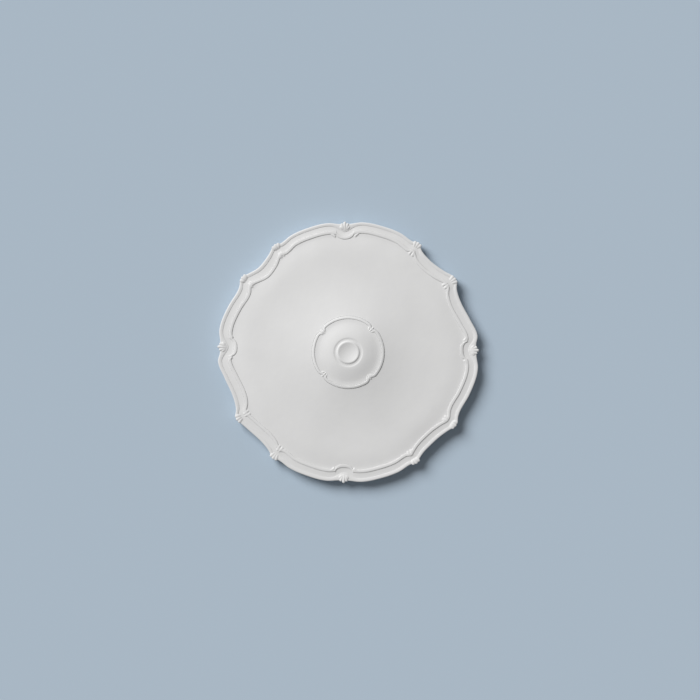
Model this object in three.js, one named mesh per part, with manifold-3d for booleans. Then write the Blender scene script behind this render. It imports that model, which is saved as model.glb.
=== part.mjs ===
// A rococo ceiling rose, moulded in one piece: a plain swelling field with a stepped boss in the middle,
// inside a scalloped frame of two beads that carries crowned cartouches and leaf knots.
// Millimetres. The flat back lies on z = 0, centred on the origin, and the ornament faces +Z.
import * as THREE from "three";
import { mergeVertices } from "three/addons/utils/BufferGeometryUtils.js";
import Module from "manifold-3d";

const wasm = await Module();
wasm.setup();

// Driving sizes
const CREST_RADIUS = 350; // from the centre to the crests of the scalloped edge
const EDGE_HEIGHT = 33; // from the back to the top of the edge
const BACK_BEVEL = 15; // the edge runs in under itself, back to the ceiling

// Frame, from the edge inwards: a flat bead, a band that rises slowly, and a round bead at the field
const OUTER_BEAD = 9.2;
const FLANK = 2.6; // the sloping side of the flat bead
const BEAD_FALL = 1.45;
const BAND_RISE = 1.2;
const BAND_BEND = 0.55; // where the hollow of the band is sampled, as a share of its width
const INNER_BEAD = 9;
const INNER_BEAD_RISE = 1.75;
const FRAME_WIDTH = 34.7;
const FOOT_RISE = -0.2; // of the field's foot over the edge
// At a cartouche the flat bead runs in under the crown, and the round one bulges as a crescent
const SWOOP = 12.5;
const SWOOP_WIDTH = 19;
const CRESCENT = 10.5;
const CRESCENT_WIDTH = 25.5;

// Field, a flat cone that swells towards the boss, with a soft roll down to the frame
const ROLL_FALL = 2;
const ROLL_WIDTH = 40;
const ROLL_START = 4;
const ROLL_SPREAD = 9; // degrees to each side over which the roll evens out the waves of the edge
const CONE_RISE = 6;
const CONE_RADIUS = 310;
const SWELL_RISE = 10.2;
const SWELL_RADIUS = 240;

// Boss
const BOSS_RADIUS = 93.1; // to the middle of its lobed bead
const BOSS_BEAD = 7.6;
const BOSS_BEAD_RISE = 1.45;
const BOSS_STEP = 0.9; // from the field up to the groove inside the bead
const BOSS_KNOTS = [44.6, 140.8, 222.4, 311];
const BOSS_DIP = 8; // how far the bead turns in at its knots
const BOSS_DIP_ANGLE = 11;
const DISH_RADIUS = 25.7;
const DISH_DEPTH = 3.7;
// Radius and height above the groove, from the foot of the dome to the rim of the dish
const DOME = [
  [79.5, 0.5],
  [74, 1.4],
  [68, 2.8],
  [60, 4.5],
  [50, 6.4],
  [44, 7.25],
  [38.6, 7.5],
  [36.4, 6.9],
  [32.4, 6.9],
  [31, 7.3],
  [28.2, 8.9],
  [DISH_RADIUS, 9],
];

// The frame's stations in degrees, and the span from each one to the next: its edge and its width's scale
const STATIONS = [
  { at: 0.9, kind: "cartouche", edge: "deepWave", scale: 1 },
  { at: 34.5, kind: "knot", edge: "upperRightScoop", scale: 0.94 },
  { at: 57.3, kind: "knot", edge: "brow", scale: 0.86 },
  { at: 91.5, kind: "cartouche", edge: "backBrow", scale: 0.86 },
  { at: 124.3, kind: "knot", edge: "upperLeftScoop", scale: 1.08 },
  { at: 144.8, kind: "knot", edge: "shallowWave", scale: 1.01 },
  { at: 177.5, kind: "cartouche", edge: "deepWave", scale: 1.05 },
  { at: 211.1, kind: "knot", edge: "lowerLeftScoop", scale: 1 },
  { at: 234.6, kind: "knot", edge: "lowBrow", scale: 0.97 },
  { at: 268, kind: "cartouche", edge: "lowBackBrow", scale: 0.97 },
  { at: 301.7, kind: "knot", edge: "lowerRightScoop", scale: 0.95 },
  { at: 325.7, kind: "knot", edge: "shallowWave", scale: 0.98 },
];
const SCALE_ENDS = [0.25, 0.75]; // shares of a span between which the frame keeps that span's own width
const STATION_FALL = 0.5;
// Share of the way to the next station, and how far the edge falls short of the crest radius there
const BROW = [[0.08, 7], [0.25, 2], [0.5, 0.5], [0.78, 0.5], [0.92, 6], [0.965, 3]];
const LOW_BROW = [[0.08, 7], [0.25, 3], [0.5, 2.2], [0.78, 2], [0.92, 6.5], [0.965, 3]];
const turned = (edge) => edge.map(([share, fall]) => [1 - share, fall]).reverse();
const EDGES = {
  deepWave: [[0.035, 3], [0.08, 7], [0.19, 1.3], [0.42, 12.3], [0.68, 20], [0.88, 13.2], [0.955, 2]],
  shallowWave: [[0.05, 2], [0.11, 9], [0.2, 12], [0.42, 6.7], [0.78, 0.5], [0.92, 6.5], [0.965, 3]],
  upperRightScoop: [[0.07, 3], [0.22, 12], [0.5, 20.5], [0.65, 20.5], [0.85, 15], [0.95, 5]],
  upperLeftScoop: [[0.07, 4], [0.22, 12.5], [0.5, 20], [0.65, 19], [0.85, 10], [0.95, 3]],
  lowerLeftScoop: [[0.07, 5], [0.22, 10.5], [0.5, 16.5], [0.65, 17], [0.85, 12], [0.95, 4]],
  lowerRightScoop: [[0.07, 6], [0.22, 15], [0.5, 18.5], [0.65, 17], [0.85, 10], [0.95, 3]],
  brow: BROW,
  backBrow: turned(BROW),
  lowBrow: LOW_BROW,
  lowBackBrow: turned(LOW_BROW),
};

// Leaves of the ornaments: their middle, length and width, lean in degrees, and rise above the ground
const mirrored = (leaf) => [leaf, { ...leaf, across: -leaf.across, lean: -leaf.lean }];
const LEAVES = {
  // A crown of five leaves over two curls where the round bead ends
  cartouche: [
    { radius: 337, across: 0, length: 25, width: 9.4, lean: 0, rise: 2.4 },
    ...mirrored({ radius: 335.5, across: 5, length: 20, width: 8.8, lean: 20, rise: 2.1 }),
    ...mirrored({ radius: 332, across: 7.5, length: 15, width: 7.8, lean: 45, rise: 1.7 }),
    ...mirrored({ radius: 313.5, across: 31, length: 16, width: 7, lean: 60, rise: 2.1 }),
  ],
  // Three leaves over the flat bead, and two smaller ones hung from the round bead
  knot: [
    { radius: 341.5, across: 0, length: 18, width: 11, lean: 0, rise: 1.6 },
    ...mirrored({ radius: 340.5, across: 6.6, length: 17, width: 10.4, lean: 15, rise: 1.5 }),
    ...mirrored({ radius: 316, across: 3.9, length: 18, width: 9, lean: -8, rise: 1.7 }),
  ],
  // Three leaves where the boss's bead turns in
  bossKnot: [
    { radius: 86, across: 0, length: 16, width: 6.4, lean: 0, rise: 2.9 },
    ...mirrored({ radius: 85.5, across: 7, length: 15, width: 6, lean: 32, rise: 2.7 }),
  ],
};

// Columns and rings of the mesh
const CARTOUCHE_COLUMNS = [0, 0.03, 0.06, 0.09, 0.12, 0.14, 0.2, 0.32];
const KNOT_COLUMNS = [0, 0.045, 0.1, 0.2, 0.34];
const FIELD_COLUMNS = 52;
const FIELD_RINGS = [0.91, 0.78, 0.52, 0.25];
const BOSS_COLUMNS = 50;
const DOME_COLUMNS = 28;
const DISH_RINGS = [0.85, 0.5];
const ROLL_SHARES = [-1, -0.75, -0.5, -0.25, 0, 0.25, 0.5, 0.75, 1];
const BEAD_STEPS = 4;
const BEAD_SQUARENESS = 0.65;
const LEAF_SIDES = 6;
const ROOT = 2; // how far leaves are rooted under the surface

const turn = (degrees) => THREE.MathUtils.degToRad(degrees);
const angleBetween = (a, b) => Math.abs(((a - b + 540) % 360) - 180);
const evenly = (count) => Array.from({ length: count }, (_, i) => (360 * i) / count);

// The angle of the station after one of them
const following = (i) => STATIONS[i + 1]?.at ?? STATIONS[0].at + 360;

// Edge points around the whole rose, as angle and radius
function edgePoints() {
  return STATIONS.flatMap(({ at, edge }, i) =>
    [[0, STATION_FALL], ...EDGES[edge]].map(([share, fall]) => [
      THREE.MathUtils.lerp(at, following(i), share),
      CREST_RADIUS - fall,
    ]),
  );
}

// Points of the frame's scale around the whole rose, as angle and scale
function scalePoints() {
  return STATIONS.flatMap(({ at, scale }, i) =>
    SCALE_ENDS.map((share) => [THREE.MathUtils.lerp(at, following(i), share), scale]),
  );
}

// A curve through points of angle and value that closes on itself
function closedCurve(Interpolant, points) {
  const first = points[0][0];
  const shifted = (part, by) => part.map(([at, value]) => [at + by, value]);
  const lapped = [...shifted(points.slice(-2), -360), ...points, ...shifted(points.slice(0, 3), 360)];
  const curve = new Interpolant(
    lapped.map(([at]) => at),
    lapped.map(([, value]) => value),
    1,
  );
  return (angle) => curve.evaluate(first + ((((angle - first) % 360) + 360) % 360))[0];
}

const edgeRadius = closedCurve(THREE.CubicInterpolant, edgePoints());
const frameScale = closedCurve(THREE.LinearInterpolant, scalePoints());

// Radius of the field's foot, where its roll begins
function footRadius(angle) {
  const near = ROLL_SHARES.map((share) => edgeRadius(angle + share * ROLL_SPREAD));
  return near.reduce((sum, radius) => sum + radius, 0) / near.length - FRAME_WIDTH;
}

// Distance along the edge to the nearest cartouche
function fromCartouche(angle) {
  const cartouches = STATIONS.filter((station) => station.kind === "cartouche");
  const away = Math.min(...cartouches.map((station) => angleBetween(angle, station.at)));
  return turn(away) * CREST_RADIUS;
}

function beadWidth(angle) {
  const swoop = SWOOP * Math.exp(-((fromCartouche(angle) / SWOOP_WIDTH) ** 2));
  return OUTER_BEAD * frameScale(angle) + swoop;
}

function frameWidth(angle) {
  const bulge = Math.max(0, 1 - (fromCartouche(angle) / CRESCENT_WIDTH) ** 2);
  return FRAME_WIDTH * frameScale(angle) + CRESCENT * Math.sqrt(bulge);
}

// Height of the field at a radius, with its foot at another one
function fieldHeight(radius, foot) {
  const cone = (CONE_RADIUS - radius) / (CONE_RADIUS - BOSS_RADIUS);
  const swell = Math.max(0, SWELL_RADIUS - radius) / (SWELL_RADIUS - BOSS_RADIUS);
  const inwards = Math.max(0, foot - radius);
  const roll = Math.max(0, 1 - (Math.hypot(inwards, ROLL_START) - ROLL_START) / ROLL_WIDTH);
  const rise = (ROLL_FALL + CONE_RISE * cone) * (1 - roll * roll) + SWELL_RISE * swell * swell;
  return EDGE_HEIGHT + FOOT_RISE + rise;
}

// Radius of the middle of the boss's bead, which turns in at its knots
function bossRadius(angle) {
  const away = Math.min(...BOSS_KNOTS.map((knot) => angleBetween(angle, knot)));
  const dip = Math.max(0, 1 - away / BOSS_DIP_ANGLE);
  return BOSS_RADIUS - BOSS_DIP * dip * dip;
}

const PLAIN_FOOT_RADIUS = CREST_RADIUS - FRAME_WIDTH;
const GROOVE_HEIGHT = fieldHeight(BOSS_RADIUS, PLAIN_FOOT_RADIUS) + BOSS_STEP;

// A half-round bead's steps: share of the width, and share of the rise
const beadSteps = Array.from({ length: BEAD_STEPS + 1 }, (_, i) => {
  const a = (Math.PI * i) / BEAD_STEPS;
  return [(1 - Math.cos(a)) / 2, Math.sin(a) ** BEAD_SQUARENESS];
});

// A ring of the surface: each angle gives a point by its radius and height
function ring(angles, place) {
  return angles.map((angle) => {
    const { radius, height } = place(angle);
    const a = turn(angle);
    return { angle, point: [radius * Math.cos(a), radius * Math.sin(a), height] };
  });
}

// Angles of the frame's columns, which crowd together at its ornaments
function frameColumns() {
  const shares = { cartouche: CARTOUCHE_COLUMNS, knot: KNOT_COLUMNS };
  return STATIONS.flatMap((station, i) => {
    const after = STATIONS[i + 1] ?? { ...STATIONS[0], at: STATIONS[0].at + 360 };
    const approach = shares[after.kind].slice(1).map((share) => 1 - share);
    const span = [...shares[station.kind], 0.5, ...approach.reverse()];
    return span.map((share) => THREE.MathUtils.lerp(station.at, after.at, share));
  });
}

function frameRings() {
  const angles = frameColumns();
  const lerp = THREE.MathUtils.lerp;
  const wall = (inset, height) => ring(angles, (angle) => ({ radius: edgeRadius(angle) - inset, height }));
  const line = (inset, relief) =>
    ring(angles, (angle) => {
      const radius = edgeRadius(angle) - inset(beadWidth(angle), frameWidth(angle));
      return { radius, height: fieldHeight(radius, footRadius(angle)) - FOOT_RISE + relief };
    });
  const bandTop = BAND_RISE - BEAD_FALL;
  return [
    wall(BACK_BEVEL, 0),
    wall(0, BACK_BEVEL),
    line(() => 0, 0),
    line((bead) => bead - FLANK, 0),
    line((bead) => bead, -BEAD_FALL),
    line(
      (bead, width) => lerp(bead, width - INNER_BEAD, BAND_BEND),
      BAND_RISE * BAND_BEND ** 2 - BEAD_FALL,
    ),
    ...beadSteps.map(([across, up]) =>
      line(
        (_, width) => width - INNER_BEAD * (1 - across),
        lerp(bandTop, FOOT_RISE, across) + INNER_BEAD_RISE * up,
      ),
    ),
  ];
}

function fieldRings() {
  const bossFoot = BOSS_RADIUS + BOSS_BEAD;
  return FIELD_RINGS.map((share) =>
    ring(evenly(FIELD_COLUMNS), (angle) => {
      const radius = THREE.MathUtils.lerp(bossFoot, edgeRadius(angle) - frameWidth(angle), share);
      return { radius, height: fieldHeight(radius, footRadius(angle)) };
    }),
  );
}

function bossRings() {
  return beadSteps.map(([across, up]) =>
    ring(evenly(BOSS_COLUMNS), (angle) => {
      const radius = bossRadius(angle) + (0.5 - across) * BOSS_BEAD;
      const foot = fieldHeight(radius, PLAIN_FOOT_RADIUS);
      const base = THREE.MathUtils.lerp(foot, GROOVE_HEIGHT, across);
      return { radius, height: base + up * BOSS_BEAD_RISE };
    }),
  );
}

function domeRings() {
  const rim = DOME.at(-1)[1];
  const dish = DISH_RINGS.map((share) => [share * DISH_RADIUS, rim - DISH_DEPTH * (1 - share * share)]);
  return [...DOME, ...dish].map(([radius, up]) =>
    ring(evenly(DOME_COLUMNS), () => ({ radius, height: GROOVE_HEIGHT + up })),
  );
}

// Triangles of the strip between two rings, the first of them outside or below the second
function strip(a, b) {
  const triangles = [];
  const step = (r, i) => r[i % r.length].angle + 360 * Math.floor(i / r.length);
  let i = 0;
  let j = 0;
  const start = b.findIndex((node) => node.angle >= a[0].angle);
  const shifted = [...b.slice(start), ...b.slice(0, start).map((n) => ({ ...n, angle: n.angle + 360 }))];
  while (i < a.length || j < shifted.length) {
    const here = a[i % a.length].point;
    const there = shifted[j % shifted.length].point;
    if (j >= shifted.length || (i < a.length && step(a, i + 1) <= step(shifted, j + 1))) {
      i += 1;
      triangles.push([here, a[i % a.length].point, there]);
    } else {
      j += 1;
      triangles.push([here, shifted[j % shifted.length].point, there]);
    }
  }
  return triangles;
}

// Triangles that close a ring onto one point
function fan(r, tip) {
  return r.map((node, i) => [node.point, r[(i + 1) % r.length].point, tip]);
}

// A three.js geometry as a closed solid
function solid(geometry) {
  const bare = new THREE.BufferGeometry();
  bare.setAttribute("position", geometry.getAttribute("position"));
  bare.setIndex(geometry.index);
  const merged = mergeVertices(bare, 1e-4);
  const mesh = new wasm.Mesh({
    numProp: 3,
    vertProperties: Float32Array.from(merged.getAttribute("position").array),
    triVerts: Uint32Array.from(merged.index.array),
  });
  return new wasm.Manifold(mesh);
}

// The moulding without its ornaments
function body() {
  const rings = [...frameRings(), ...fieldRings(), ...bossRings(), ...domeRings()];
  const triangles = rings.slice(1).flatMap((r, i) => strip(rings[i], r));
  const dishFloor = [0, 0, GROOVE_HEIGHT + DOME.at(-1)[1] - DISH_DEPTH];
  triangles.push(...fan(rings.at(-1), dishFloor));
  triangles.push(...fan([...rings[0]].reverse(), [0, 0, 0]));
  const geometry = new THREE.BufferGeometry();
  geometry.setAttribute("position", new THREE.Float32BufferAttribute(triangles.flat(2), 3));
  return solid(geometry);
}

// A raised leaf with a domed top at an angle of the rose, rooted under the ground that it stands on
function leafAt(at, ground, { radius, across, length, width, lean, rise }) {
  const shoulder = ground - ROOT;
  const dome = rise + ROOT;
  const profile = [
    [0, shoulder - ROOT],
    [1, shoulder],
    [Math.SQRT1_2, shoulder + dome * Math.SQRT1_2],
    [0, shoulder + dome],
  ].map(([x, y]) => new THREE.Vector2(x, y));
  const geometry = new THREE.LatheGeometry(profile, LEAF_SIDES)
    .rotateX(Math.PI / 2)
    .scale(width / 2, length / 2, 1)
    .rotateZ(turn(lean - 90))
    .translate(radius, across, 0)
    .rotateZ(turn(at));
  return solid(geometry);
}

const leaves = [
  ...STATIONS.flatMap(({ at, kind }) => LEAVES[kind].map((leaf) => leafAt(at, EDGE_HEIGHT, leaf))),
  ...BOSS_KNOTS.flatMap((at) => LEAVES.bossKnot.map((leaf) => leafAt(at, GROOVE_HEIGHT - BOSS_STEP, leaf))),
];
const moulding = leaves.reduce((whole, leaf) => whole.add(leaf), body());

// The finished solid as three.js geometry
function geometryOf(manifold) {
  const mesh = manifold.getMesh();
  const geometry = new THREE.BufferGeometry();
  geometry.setAttribute("position", new THREE.BufferAttribute(mesh.vertProperties, mesh.numProp));
  geometry.setIndex(new THREE.BufferAttribute(mesh.triVerts, 1));
  geometry.computeVertexNormals();
  return geometry;
}

const PRIMED_WHITE = new THREE.MeshStandardMaterial({ color: 0xe4e3e0, roughness: 0.6, metalness: 0 });

const rose = new THREE.Mesh(geometryOf(moulding), PRIMED_WHITE);
rose.name = "ceiling_rose";

const group = new THREE.Group();
group.add(rose);
export default group;
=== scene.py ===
# Looks of a rococo ceiling rose, moulded in one piece from dense foam and primed white.
# Its face is one relief, a height over the plan, sampled on rings that crowd together at the carving.
import math

import bpy
import numpy as np
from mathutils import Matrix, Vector


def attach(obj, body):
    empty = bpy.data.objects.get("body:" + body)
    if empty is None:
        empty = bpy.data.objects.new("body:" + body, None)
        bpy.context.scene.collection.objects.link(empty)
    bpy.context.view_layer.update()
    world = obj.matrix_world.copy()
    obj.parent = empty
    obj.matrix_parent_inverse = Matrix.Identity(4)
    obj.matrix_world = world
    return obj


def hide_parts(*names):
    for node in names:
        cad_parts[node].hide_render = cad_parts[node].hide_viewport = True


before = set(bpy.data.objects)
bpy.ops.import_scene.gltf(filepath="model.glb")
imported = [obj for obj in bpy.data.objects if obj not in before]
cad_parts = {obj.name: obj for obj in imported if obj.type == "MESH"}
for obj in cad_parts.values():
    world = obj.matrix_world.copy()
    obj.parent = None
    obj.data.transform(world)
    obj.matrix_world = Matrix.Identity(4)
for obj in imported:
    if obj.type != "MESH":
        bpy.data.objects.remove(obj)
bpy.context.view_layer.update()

MM = 0.001

# Driving sizes, in millimetres
CREST_RADIUS = 350.0
EDGE_HEIGHT = 33.0

# Frame, from the edge inwards: a flat bead, a band that rises slowly, and a round bead at the field
EDGE_ROUND = 4.0
EDGE_FALL = 1.6
BACK_BEVEL = 15.0
OUTER_BEAD = 9.2
FLANK = 6.5
FLANK_POWER = 1.7
FLANK_FALL = 0.6
BEAD_STEP = 0.85
BEAD_STEP_WIDTH = 0.3
BAND_RISE = 1.2
BAND_POWER = 1.6
INNER_BEAD = 9.0
INNER_BEAD_RISE = 1.75
FRAME_WIDTH = 34.7
FOOT_RISE = -0.2
# Shares of each span between which the frame keeps that span's own width
SCALE_ENDS = (0.25, 0.75)
# At a cartouche the flat bead runs in under the crown, and the round one bulges as a crescent
SWOOP = 12.5
SWOOP_WIDTH = 19.0
CRESCENT = 10.5
CRESCENT_WIDTH = 25.5
BEAD_POWER = 3.2
# Narrow grooves at the feet of the beads
QUIRK_SLOPE = 1.75
BAND_QUIRK = 0.7
FOOT_QUIRK = 0.75
BOSS_QUIRK = 1.3
GROOVE_QUIRK = 0.9

# Field, a flat cone that swells towards the boss, with a soft roll down to the frame
ROLL_FALL = 2.0
ROLL_WIDTH = 40.0
ROLL_START = 4.0
ROLL_SPREAD = 9.0
ROLL_SAMPLES = 9
CONE_RISE = 6.0
CONE_RADIUS = 310.0
SWELL_RISE = 10.2
SWELL_RADIUS = 240.0

# Boss
BOSS_RADIUS = 93.1
BOSS_BEAD = 7.6
BOSS_BEAD_RISE = 1.45
BOSS_STEP = 0.9
BOSS_KNOTS = (44.6, 140.8, 222.4, 311.0)
BOSS_DIP = 8.0
BOSS_DIP_ANGLE = 11.0
DISH_RADIUS = 25.7
DISH_DEPTH = 3.7
# Radius and height above the groove, from the groove to the rim of the dish
DOME = (
    (90, 0), (84, 0.1), (78, 0.7), (70, 2.3), (60, 4.5), (50, 6.4), (44, 7.25), (38.6, 7.5),
    (36.4, 6.9), (32.4, 6.9), (31, 7.3), (28.2, 8.9), (27, 9), (DISH_RADIUS, 9),
)
# Radii between which the fine rings of the boss lie
DOME_EDGE = 76.0
BOSS_REACH = 108.0

# The frame's stations in degrees, and the span from each one to the next: its edge and its width's scale
STATIONS = (
    (0.9, "cartouche", "deep_wave", 1.0),
    (34.5, "knot", "upper_right_scoop", 0.94),
    (57.3, "knot", "brow", 0.86),
    (91.5, "cartouche", "back_brow", 0.88),
    (124.3, "knot", "upper_left_scoop", 1.08),
    (144.8, "knot", "shallow_wave", 1.01),
    (177.5, "cartouche", "deep_wave", 1.05),
    (211.1, "knot", "lower_left_scoop", 1.0),
    (234.6, "knot", "low_brow", 0.97),
    (268.0, "cartouche", "low_back_brow", 0.97),
    (301.7, "knot", "lower_right_scoop", 0.95),
    (325.7, "knot", "shallow_wave", 0.98),
)
STATION_FALL = {"cartouche": 7.0, "knot": 2.5}
# Share of the way to the next station, and how far the edge falls short of the crest radius there
BROW = ((0.08, 7), (0.25, 2), (0.5, 0.5), (0.78, 0.5), (0.92, 6))
LOW_BROW = ((0.08, 7), (0.25, 3), (0.5, 2.2), (0.78, 2), (0.92, 6.5))
EDGES = {
    "deep_wave": ((0.08, 7), (0.19, 1.3), (0.42, 12.3), (0.68, 20), (0.88, 13.2), (0.955, 3)),
    "shallow_wave": ((0.05, 3), (0.11, 9), (0.2, 12), (0.42, 6.7), (0.78, 0.5), (0.92, 6.5)),
    "upper_right_scoop": ((0.07, 3), (0.22, 12), (0.5, 20.5), (0.65, 20.5), (0.85, 15), (0.95, 6)),
    "upper_left_scoop": ((0.07, 4), (0.22, 12.5), (0.5, 20), (0.65, 19), (0.85, 10), (0.95, 4)),
    "lower_left_scoop": ((0.07, 5), (0.22, 10.5), (0.5, 16.5), (0.65, 17), (0.85, 12), (0.95, 5)),
    "lower_right_scoop": ((0.07, 7), (0.22, 15), (0.5, 18.5), (0.65, 17), (0.85, 10), (0.95, 4)),
    "brow": BROW,
    "back_brow": tuple((1 - share, fall) for share, fall in reversed(BROW)),
    "low_brow": LOW_BROW,
    "low_back_brow": tuple((1 - share, fall) for share, fall in reversed(LOW_BROW)),
}

# Carved strokes by the point: out from the crest radius, across, half width, rise above the ground
CROWN = (
    ((-22, 0, 3.6, 0.8), (-13, 0, 5, 2.4), (-4, 0, 4.4, 2.4)),
)
CROWN_SIDES = (
    ((-21, 2.5, 3.4, 0.8), (-14, 5.5, 4.6, 2.1), (-8, 7.5, 4.2, 2)),
    ((-21, 4, 3.2, 0.6), (-17.5, 8.5, 4, 1.7), (-15, 10.5, 3.8, 1.6)),
)
CURLS = (
    ((-34, 35, 3, 1.6), (-36.5, 30.5, 3.4, 2), (-39, 27.5, 3.4, 2)),
)
OUTER_FINGERS = (
    ((-13, 0, 4, 0.6), (-9, 0, 5.4, 1.6), (-4.8, 0, 5.6, 1.6)),
)
OUTER_FINGER_SIDES = (
    ((-13, 5, 4, 0.5), (-9.5, 6.5, 5.2, 1.5), (-6, 7.8, 5.4, 1.4)),
)
INNER_FINGERS = (
    ((-29, 3, 3.6, 1.2), (-33.5, 3.8, 4.6, 1.8), (-38, 4.4, 4.6, 1.6)),
)
BOSS_FINGERS = (
    ((-13, 0, 2.4, 2), (-7, 0, 3.2, 2.9), (-1.5, 0, 3, 2.3)),
)
BOSS_FINGER_SIDES = (
    ((-12, 4, 2.2, 1.9), (-7, 7, 3, 2.7), (-3, 9.5, 2.8, 1.9)),
)
# Depth of the strokes' roots, depth where there is no stroke, step along a stroke, and width of its blend
ROOT = 2.0
UNCARVED_DEPTH = 20.0
STROKE_STEP = 0.8
SOFTEN = 1.2

# Spacing of the mesh's columns, and how far to each side of an ornament they are fine
FINE_COLUMN = 0.75
PLAIN_COLUMN = 6.0
CARVED_WIDTH = {"cartouche": 48.0, "knot": 20.0}
BOSS_FINE_COLUMN = 0.75
BOSS_PLAIN_COLUMN = 3.0
BOSS_KNOT_WIDTH = 14.0
FIELD_COLUMNS = 240
DOME_COLUMNS = 160
# Rings of the mesh on the frame, and from its foot as far in as the carving reaches
ROUND_RINGS = 4
TOP_RINGS = 14
BAND_RINGS = 11
BEAD_RINGS = 12
FOOT_RINGS = 13
FOOT_CROWDING = 1.5
CARVED_DEPTH = 60.0
# Rings of the mesh on the field and the boss, with those of the dome and its rim by their spacing
FIELD_RINGS = 15
BOSS_FOOT_RINGS = 14
GROOVE_RINGS = 10
DOME_RING = 3.0
RIM_RING = 0.8
RIM = (23.0, 41.0)
SHARP_ANGLE = math.radians(60)
# Search for the outline of the carving, inside and outside the crest radius
SEARCH_INSIDE = 20.0
SEARCH_OUTSIDE = 6.0
SEARCH_STEP = 0.25
# Points of the edge that are repeated past its ends, so that its curve closes smoothly
LAPPED_POINTS = 3


def hermite(xs, ys, x):
    """Smooth curve through points, with the mean of the neighbouring slopes at each one."""
    xs = np.asarray(xs, float)
    ys = np.asarray(ys, float)
    slopes = np.diff(ys, axis=0) / np.diff(xs).reshape((-1,) + (1,) * (ys.ndim - 1))
    tangents = np.concatenate([slopes[:1], (slopes[:-1] + slopes[1:]) / 2, slopes[-1:]])
    i = np.clip(np.searchsorted(xs, x, side="right") - 1, 0, len(xs) - 2)
    step = xs[i + 1] - xs[i]
    t = (x - xs[i]) / step
    if ys.ndim > 1:
        step = step[..., None]
        t = t[..., None]
    rise = ys[i + 1] - ys[i]
    near = tangents[i] * step
    far = tangents[i + 1] * step
    return ys[i] + t * (near + t * (3 * rise - 2 * near - far + t * (near + far - 2 * rise)))


def angle_between(a, b):
    return np.abs((a - b + 540) % 360 - 180)


def nearest_angle(angle, places):
    return np.min([angle_between(angle, place) for place in places], axis=0)


def edge_points():
    """Angle and radius of the points of the edge, once round."""
    points = []
    for i, (at, kind, edge, _) in enumerate(STATIONS):
        following = STATIONS[i + 1][0] if i + 1 < len(STATIONS) else STATIONS[0][0] + 360
        points.append((at, CREST_RADIUS - STATION_FALL[kind]))
        for share, fall in EDGES[edge]:
            points.append((at + share * (following - at), CREST_RADIUS - fall))
    return np.array(points)


EDGE = edge_points()
EDGE_LAPPED = np.concatenate([EDGE[-LAPPED_POINTS:] - (360, 0), EDGE, EDGE[:LAPPED_POINTS] + (360, 0)])
CARTOUCHES = [at for at, kind, _, _ in STATIONS if kind == "cartouche"]


def edge_radius(angle):
    first = EDGE[0, 0]
    return hermite(EDGE_LAPPED[:, 0], EDGE_LAPPED[:, 1], first + (angle - first) % 360)


def half_round(share):
    """Height of a half-round bead, of rise 1, at a share of its width."""
    return np.clip(1 - np.abs(2 * share - 1) ** BEAD_POWER, 0, None) ** (1 / BEAD_POWER)


def foot_radius(angle):
    """Radius of the field's foot, where its roll begins: it evens out the waves of the edge."""
    offsets = np.linspace(-ROLL_SPREAD, ROLL_SPREAD, ROLL_SAMPLES)
    return np.mean([edge_radius(angle + offset) for offset in offsets], axis=0) - FRAME_WIDTH


def field_height(radius, foot):
    cone = (CONE_RADIUS - radius) / (CONE_RADIUS - BOSS_RADIUS)
    swell = np.clip(SWELL_RADIUS - radius, 0, None) / (SWELL_RADIUS - BOSS_RADIUS)
    inwards = np.clip(foot - radius, 0, None)
    roll = np.clip(1 - (np.hypot(inwards, ROLL_START) - ROLL_START) / ROLL_WIDTH, 0, 1)
    rise = (ROLL_FALL + CONE_RISE * cone) * (1 - roll**2) + SWELL_RISE * swell**2
    return EDGE_HEIGHT + FOOT_RISE + rise


GROOVE_HEIGHT = field_height(BOSS_RADIUS, CREST_RADIUS - FRAME_WIDTH) + BOSS_STEP


def from_cartouche(angle):
    return np.radians(nearest_angle(angle, CARTOUCHES)) * CREST_RADIUS


def scale_points():
    """Angles between which the frame's scale is blended, and the scale there."""
    points = []
    for i, (at, _, _, scale) in enumerate(STATIONS):
        length = (STATIONS[(i + 1) % len(STATIONS)][0] - at) % 360
        points += [((at + share * length) % 360, scale) for share in SCALE_ENDS]
    return np.array(points)


SCALES = scale_points()


def frame_scale(angle):
    return np.interp(angle, SCALES[:, 0], SCALES[:, 1], period=360)


def bead_width(angle):
    swoop = SWOOP * np.exp(-((from_cartouche(angle) / SWOOP_WIDTH) ** 2))
    return OUTER_BEAD * frame_scale(angle) + swoop


def frame_width(angle):
    bulge = np.clip(1 - (from_cartouche(angle) / CRESCENT_WIDTH) ** 2, 0, None)
    return FRAME_WIDTH * frame_scale(angle) + CRESCENT * np.sqrt(bulge)


def flank(inset, end):
    """Fall down the side of the flat bead, which ends at an inset: a soft slope and a small step."""
    slope = np.clip(1 - (end - inset) / FLANK, 0, 1) ** FLANK_POWER
    step = np.clip((inset - end) / BEAD_STEP_WIDTH, 0, 1)
    return FLANK_FALL * slope + BEAD_STEP * step


def quirk(distance, width):
    """Depth of a narrow groove at a distance from its middle."""
    return QUIRK_SLOPE * np.clip(width / 2 - np.abs(distance), 0, None)


def frame_height(radius, angle):
    """Frame and field without the carving."""
    edge = edge_radius(angle)
    inset = edge - radius
    bead = bead_width(angle)
    width = frame_width(angle)
    lip = 1 - np.sqrt(1 - np.clip(1 - inset / EDGE_ROUND, 0, 1) ** 2)
    start = width - INNER_BEAD
    across = np.clip((inset - start) / INNER_BEAD, 0, 1)
    quirks = quirk(inset - start, BAND_QUIRK) + quirk(inset - width, FOOT_QUIRK)
    band = BAND_RISE * np.clip((inset - bead) / (start - bead), 0, 1) ** BAND_POWER
    level = FOOT_RISE + (BAND_RISE - FLANK_FALL - BEAD_STEP - FOOT_RISE) * across
    relief = band - level - flank(inset, bead) - EDGE_FALL * lip - quirks
    return field_height(radius, foot_radius(angle)) + relief + INNER_BEAD_RISE * half_round(across)


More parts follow.
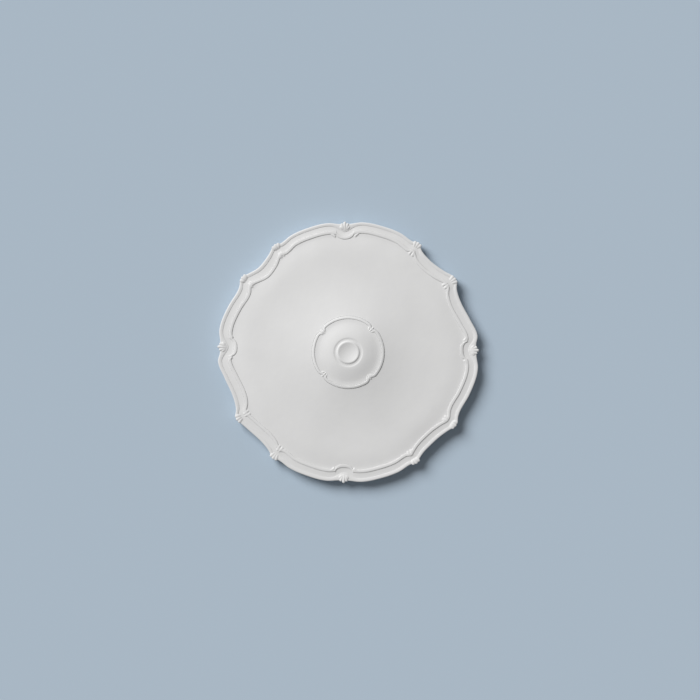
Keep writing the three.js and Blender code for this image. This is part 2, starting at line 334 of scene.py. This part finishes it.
def boss_radius(angle):
    dip = np.clip(1 - nearest_angle(angle, BOSS_KNOTS) / BOSS_DIP_ANGLE, 0, 1)
    return BOSS_RADIUS - BOSS_DIP * dip**2


def dome_height(radius):
    points = np.array(DOME, float)[::-1]
    dome = hermite(points[:, 0], points[:, 1], radius)
    dish = points[0, 1] - DISH_DEPTH * (1 - (radius / DISH_RADIUS) ** 2)
    return GROOVE_HEIGHT + np.where(radius < DISH_RADIUS, dish, dome)


def boss_height(radius, angle):
    """Boss without the carving: its bead on the field, and the dome inside the bead."""
    across = 0.5 - (radius - boss_radius(angle)) / BOSS_BEAD
    foot = field_height(radius, CREST_RADIUS - FRAME_WIDTH)
    base = foot + np.clip(across, 0, 1) * (GROOVE_HEIGHT - foot)
    bead = base + BOSS_BEAD_RISE * half_round(across)
    quirks = quirk(across * BOSS_BEAD, BOSS_QUIRK) + quirk((1 - across) * BOSS_BEAD, GROOVE_QUIRK)
    return np.where(across > 0.5, np.maximum(bead, dome_height(radius)), bead) - quirks


def stroke_samples(points):
    """Points along a carved stroke, close enough together to read as one ridge."""
    points = np.array(points, float)
    lengths = np.linalg.norm(np.diff(points[:, :2], axis=0), axis=1)
    along = np.concatenate([[0], np.cumsum(lengths)])
    count = int(along[-1] / STROKE_STEP) + 2
    return hermite(along, points, np.linspace(0, along[-1], count))


def mirrored(strokes):
    return [[(out, side * across, width, rise) for out, across, width, rise in stroke]
            for stroke in strokes for side in (1, -1)]


CARVING = {
    "cartouche": [*CROWN, *mirrored(CROWN_SIDES), *mirrored(CURLS)],
    "knot": [*OUTER_FINGERS, *mirrored(OUTER_FINGER_SIDES), *mirrored(INNER_FINGERS)],
    "boss_knot": [*BOSS_FINGERS, *mirrored(BOSS_FINGER_SIDES)],
}
SAMPLES = {
    kind: np.concatenate([stroke_samples(stroke) for stroke in strokes])
    for kind, strokes in CARVING.items()
}


def carved_height(radius, angle, at, kind, origin, ground):
    """Height of one ornament's strokes, or far below the ground where none of them reaches."""
    turn = np.radians(angle - at)
    out = radius * np.cos(turn) - origin
    across = radius * np.sin(turn)
    height = np.full(np.broadcast(out, across).shape, ground - UNCARVED_DEPTH)
    for x, y, width, rise in SAMPLES[kind]:
        left = 1 - ((out - x) ** 2 + (across - y) ** 2) / width**2
        ridge = ground - ROOT + (rise + ROOT) * np.sqrt(np.clip(left, 0, None))
        height = np.maximum(height, np.where(left > 0, ridge, height))
    return height


def soft_max(a, b):
    """The larger height, rounded where the two are nearly equal."""
    near = np.clip(1 - np.abs(a - b) / SOFTEN, 0, None)
    return np.maximum(a, b) + SOFTEN / 4 * near**2


def carve(height, radius, angles, places, width):
    """Adds ornaments to a grid of heights. Places give angle, kind, origin radius and ground."""
    for at, kind, origin, ground in places:
        reach = math.degrees(width[kind] / origin)
        near = angle_between(angles, at) < reach
        cut = carved_height(radius[:, near], angles[near], at, kind, origin, ground)
        height[:, near] = soft_max(height[:, near], cut)
    return height


FRAME_PLACES = [(at, kind, CREST_RADIUS, EDGE_HEIGHT) for at, kind, _, _ in STATIONS]
BOSS_PLACES = [(at, "boss_knot", BOSS_RADIUS, GROOVE_HEIGHT - BOSS_STEP) for at in BOSS_KNOTS]


def columns(radius, places, width, fine, plain):
    """Angles round a ring, close together at its ornaments and far apart between them."""
    places = sorted(places)
    angles = []
    for i, (at, kind) in enumerate(places):
        after, after_kind = places[(i + 1) % len(places)]
        after += 360 if i + 1 == len(places) else 0
        half = math.degrees(width[kind] / radius)
        half_after = math.degrees(width[after_kind] / radius)
        carved = np.linspace(at - half, at + half, int(2 * width[kind] / fine), endpoint=False)
        gap = math.radians(after - half_after - at - half) * radius
        between = np.linspace(at + half, after - half_after, max(1, int(gap / plain)), endpoint=False)
        angles += [carved, between]
    return np.sort(np.concatenate(angles) % 360)


def carved_edge(angles):
    """Radius of the outline, with the ornaments that stand out past the edge."""
    edge = edge_radius(angles)
    steps = np.arange(CREST_RADIUS - SEARCH_INSIDE, CREST_RADIUS + SEARCH_OUTSIDE, SEARCH_STEP)
    radius = steps[:, None] + np.zeros_like(angles)
    height = carve(np.full(radius.shape, EDGE_HEIGHT - ROOT), radius, angles, FRAME_PLACES, CARVED_WIDTH)
    reach = np.where(height > EDGE_HEIGHT, radius, 0).max(axis=0)
    return np.maximum(edge, reach)


def bead_insets(start, width):
    """Insets of the rings over a bead, close together at its feet."""
    return start + width * (1 - np.cos(np.linspace(0, math.pi, BEAD_RINGS + 1))) / 2


def quarter(count):
    """Shares of a quarter round, close together where it is steep."""
    return np.sin(np.linspace(0, math.pi / 2, count + 1))


def frame_insets(angles):
    """Insets of the frame's rings, which follow its bead and its inner edge."""
    bead = bead_width(angles)
    width = frame_width(angles)

    def between(start, end, shares):
        return [start + share * (end - start) for share in shares]

    insets = [np.zeros_like(bead)]
    insets += between(0, EDGE_ROUND + 0 * bead, 1 - quarter(ROUND_RINGS)[-2::-1])
    insets += between(EDGE_ROUND, bead, np.linspace(0, 1, TOP_RINGS + 1)[1:])
    insets += between(bead + BEAD_STEP_WIDTH, width - INNER_BEAD, np.linspace(0, 1, BAND_RINGS + 1))
    insets += between(width - INNER_BEAD, width, bead_insets(0, 1)[1:])
    insets += between(width, CARVED_DEPTH, np.linspace(0, 1, FOOT_RINGS + 1)[1:] ** FOOT_CROWDING)
    for middle, size in ((width - INNER_BEAD, BAND_QUIRK), (width, FOOT_QUIRK)):
        insets += [middle - size / 2, middle + size / 2]
    return np.sort(np.array(insets), axis=0)


def points_at(radius, angles, height):
    turn = np.radians(angles)
    z = np.broadcast_to(height, radius.shape)
    return np.stack([radius * np.cos(turn), radius * np.sin(turn), z], axis=-1)


def frame_rings():
    """Rings of the side wall and the frame, from the back edge up and in."""
    places = [(at, kind) for at, kind, _, _ in STATIONS]
    angles = columns(CREST_RADIUS, places, CARVED_WIDTH, FINE_COLUMN, PLAIN_COLUMN)
    edge = edge_radius(angles)
    outline = carved_edge(angles)
    insets = frame_insets(angles)
    spread = np.clip(1 - insets / OUTER_BEAD, 0, 1)
    radius = edge - insets + spread * (outline - edge)
    height = carve(frame_height(radius, angles), radius, angles, FRAME_PLACES, CARVED_WIDTH)
    height[0] = EDGE_HEIGHT - EDGE_FALL
    wall = [(outline - BACK_BEVEL, 0), (outline, BACK_BEVEL), (outline, (BACK_BEVEL + EDGE_HEIGHT) / 2)]
    rings = [(angles, points_at(r, angles, z)) for r, z in wall]
    return rings + [(angles, points_at(r, angles, z)) for r, z in zip(radius, height)]


def field_rings():
    angles = np.arange(FIELD_COLUMNS) * 360 / FIELD_COLUMNS
    foot = foot_radius(angles)
    outside = edge_radius(angles) - CARVED_DEPTH
    rings = []
    for share in np.linspace(1, 0, FIELD_RINGS + 2)[1:-1]:
        radius = BOSS_REACH + share * (outside - BOSS_REACH)
        rings.append((angles, points_at(radius, angles, field_height(radius, foot))))
    return rings


def boss_rings():
    places = [(at, "boss_knot") for at in BOSS_KNOTS]
    width = {"boss_knot": BOSS_KNOT_WIDTH}
    angles = columns(BOSS_RADIUS, places, width, BOSS_FINE_COLUMN, BOSS_PLAIN_COLUMN)
    middle = boss_radius(angles)
    outer_foot = middle + BOSS_BEAD / 2
    inner_foot = middle - BOSS_BEAD / 2
    outside = np.linspace(0, 1, BOSS_FOOT_RINGS, endpoint=False)[:, None]
    inside = np.linspace(0, 1, GROOVE_RINGS + 1)[1:, None]
    radius = np.concatenate([
        BOSS_REACH + outside * (outer_foot - BOSS_REACH),
        outer_foot - bead_insets(0, BOSS_BEAD)[:, None],
        inner_foot + inside * (DOME_EDGE - inner_foot),
        [outer_foot + BOSS_QUIRK / 2, outer_foot - BOSS_QUIRK / 2],
        [inner_foot + GROOVE_QUIRK / 2, inner_foot - GROOVE_QUIRK / 2],
    ])
    radius = -np.sort(-radius, axis=0)
    height = carve(boss_height(radius, angles), radius, angles, BOSS_PLACES, width)
    return [(angles, points_at(r, angles, z)) for r, z in zip(radius, height)]


def dome_rings():
    angles = np.arange(DOME_COLUMNS) * 360 / DOME_COLUMNS
    inside, outside = RIM
    radii = np.concatenate([
        np.arange(DOME_EDGE - DOME_RING, outside, -DOME_RING),
        np.arange(outside, inside, -RIM_RING),
        np.arange(inside, DOME_RING / 2, -DOME_RING),
    ])
    rings = []
    for radius in radii:
        ring = np.full(DOME_COLUMNS, radius)
        rings.append((angles, points_at(ring, angles, dome_height(ring))))
    return rings


def strip(first, second, a, b):
    """Faces between two rings of angles, whose first vertices are numbers a and b."""
    if len(first) == len(second) and np.array_equal(first, second):
        i = np.arange(len(first))
        j = np.roll(i, -1)
        return np.stack([a + i, a + j, b + j, b + i], axis=1).tolist()
    faces = []
    i = j = 0
    n, m = len(first), len(second)
    while i < n or j < m:
        next_first = first[(i + 1) % n] + 360 * ((i + 1) // n)
        next_second = second[(j + 1) % m] + 360 * ((j + 1) // m)
        here, there = a + i % n, b + j % m
        if j >= m or (i < n and next_first <= next_second):
            i += 1
            faces.append((here, a + i % n, there))
        else:
            j += 1
            faces.append((here, b + j % m, there))
    return faces


def rose_mesh():
    """One closed mesh: all the rings in turn, closed by a fan in the dish and one over the back."""
    rings = [*frame_rings(), *field_rings(), *boss_rings(), *dome_rings()]
    starts = np.cumsum([0] + [len(angles) for angles, _ in rings])
    faces = []
    for i in range(len(rings) - 1):
        faces += strip(rings[i][0], rings[i + 1][0], starts[i], starts[i + 1])
    dish = int(starts[-1])
    back = dish + 1
    last = int(starts[-2])
    count = len(rings[-1][0])
    faces += [(last + k, last + (k + 1) % count, dish) for k in range(count)]
    count = len(rings[0][0])
    faces += [((k + 1) % count, k, back) for k in range(count)]
    centre = [(0, 0, float(dome_height(np.float64(0)))), (0, 0, 0)]
    points = np.concatenate([xyz for _, xyz in rings] + [np.array(centre)]) * MM
    mesh = bpy.data.meshes.new("ceiling_rose_relief")
    mesh.from_pydata(points.tolist(), [], faces)
    mesh.validate()
    mesh.shade_smooth()
    mesh.set_sharp_from_angle(angle=SHARP_ANGLE)
    return mesh


# Primer: each noise has a scale per metre and a detail, and the depths are in metres
PRIMER_SPECULAR = 0.35
TONE_NOISE = (9, 3)
TONE_RANGE = (0.3, 0.7)
TONES = ((0.728, 0.726, 0.723, 1), (0.762, 0.76, 0.757, 1))
SHEEN_NOISE = (45, 4)
SHEEN_ROUGHNESS = (0.5, 0.66)
GRAIN_NOISE = (700, 3)
GRAIN_STRENGTH = 0.25
GRAIN_DEPTH = 0.0002
RIPPLE_NOISE = (60, 2)
RIPPLE_STRENGTH = 0.2
RIPPLE_DEPTH = 0.001


def primed_white():
    """Matt white primer on moulded foam: a faint grain, and slight changes of tone and sheen."""
    material = bpy.data.materials.new("primed_white")
    material.use_nodes = True
    nodes = material.node_tree.nodes
    links = material.node_tree.links
    shader = nodes["Principled BSDF"]
    shader.inputs["Specular IOR Level"].default_value = PRIMER_SPECULAR
    place = nodes.new("ShaderNodeTexCoord")

    def noise(scale, detail):
        node = nodes.new("ShaderNodeTexNoise")
        node.inputs["Scale"].default_value = scale
        node.inputs["Detail"].default_value = detail
        links.new(place.outputs["Object"], node.inputs["Vector"])
        return node.outputs["Fac"]

    def bump(pattern, strength, depth):
        node = nodes.new("ShaderNodeBump")
        node.inputs["Strength"].default_value = strength
        node.inputs["Distance"].default_value = depth
        links.new(noise(*pattern), node.inputs["Height"])
        return node

    tone = nodes.new("ShaderNodeValToRGB")
    for element, position, colour in zip(tone.color_ramp.elements, TONE_RANGE, TONES):
        element.position = position
        element.color = colour
    links.new(noise(*TONE_NOISE), tone.inputs["Fac"])
    links.new(tone.outputs["Color"], shader.inputs["Base Color"])

    sheen = nodes.new("ShaderNodeMapRange")
    smooth, rough = SHEEN_ROUGHNESS
    sheen.inputs["To Min"].default_value = smooth
    sheen.inputs["To Max"].default_value = rough
    links.new(noise(*SHEEN_NOISE), sheen.inputs["Value"])
    links.new(sheen.outputs["Result"], shader.inputs["Roughness"])

    grain = bump(GRAIN_NOISE, GRAIN_STRENGTH, GRAIN_DEPTH)
    ripple = bump(RIPPLE_NOISE, RIPPLE_STRENGTH, RIPPLE_DEPTH)
    links.new(grain.outputs["Normal"], ripple.inputs["Normal"])
    links.new(ripple.outputs["Normal"], shader.inputs["Normal"])
    return material


def make_rose():
    rose = bpy.data.objects.new("rose_moulding", rose_mesh())
    bpy.context.scene.collection.objects.link(rose)
    rose.data.materials.append(primed_white())
    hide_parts("ceiling_rose")
    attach(rose, "root")


# Stage, in metres, with the camera's lens and sensor in millimetres
FLOOR_SIZE = 60.0
FLOOR_GAP = 0.0005
FLOOR_COLOUR = (0.45, 0.54, 0.63, 1)
FLOOR_ROUGHNESS = 0.9
FLOOR_SPECULAR = 0.1
WORLD_COLOUR = (1.0, 1.0, 1.0, 1)
WORLD_STRENGTH = 0.19
KEY_DIRECTION = Vector((-1, 1, 1.187))
KEY_SPREAD = math.radians(34)
KEY_STRENGTH = 3.355
LENS = 85.0
SENSOR = 36.0
# The photograph's own frame, in pixels
PHOTO_WIDTH = 700
PHOTO_CREST_RADIUS = 131.0
PHOTO_CENTRE = (348.2, 352.4)


def make_floor():
    half = FLOOR_SIZE / 2
    mesh = bpy.data.meshes.new("floor")
    corners = [(-half, -half), (half, -half), (half, half), (-half, half)]
    mesh.from_pydata([(x, y, -FLOOR_GAP) for x, y in corners], [], [(0, 1, 2, 3)])
    floor = bpy.data.objects.new("floor", mesh)
    bpy.context.scene.collection.objects.link(floor)
    material = bpy.data.materials.new("floor")
    material.use_nodes = True
    shader = material.node_tree.nodes["Principled BSDF"]
    shader.inputs["Base Color"].default_value = FLOOR_COLOUR
    shader.inputs["Roughness"].default_value = FLOOR_ROUGHNESS
    shader.inputs["Specular IOR Level"].default_value = FLOOR_SPECULAR
    mesh.materials.append(material)


def make_light():
    world = bpy.data.worlds.new("studio")
    world.use_nodes = True
    background = world.node_tree.nodes["Background"]
    background.inputs["Color"].default_value = WORLD_COLOUR
    background.inputs["Strength"].default_value = WORLD_STRENGTH
    bpy.context.scene.world = world
    key = bpy.data.lights.new("key", "SUN")
    key.angle = KEY_SPREAD
    key.energy = KEY_STRENGTH
    lamp = bpy.data.objects.new("key", key)
    lamp.rotation_euler = KEY_DIRECTION.to_track_quat("Z", "Y").to_euler()
    bpy.context.scene.collection.objects.link(lamp)


def make_camera():
    """Looks straight down on the face, with the photograph's framing."""
    pixel = CREST_RADIUS * MM / PHOTO_CREST_RADIUS
    camera = bpy.data.cameras.new("camera")
    camera.lens = LENS
    camera.sensor_width = SENSOR
    view = bpy.data.objects.new("camera", camera)
    distance = PHOTO_WIDTH * pixel * LENS / SENSOR
    off_x = (PHOTO_WIDTH / 2 - PHOTO_CENTRE[0]) * pixel
    off_y = (PHOTO_CENTRE[1] - PHOTO_WIDTH / 2) * pixel
    view.location = (off_x, off_y, distance + EDGE_HEIGHT * MM)
    bpy.context.scene.collection.objects.link(view)
    bpy.context.scene.camera = view


make_rose()
make_floor()
make_light()
make_camera()
bpy.context.scene.view_settings.view_transform = "Standard"
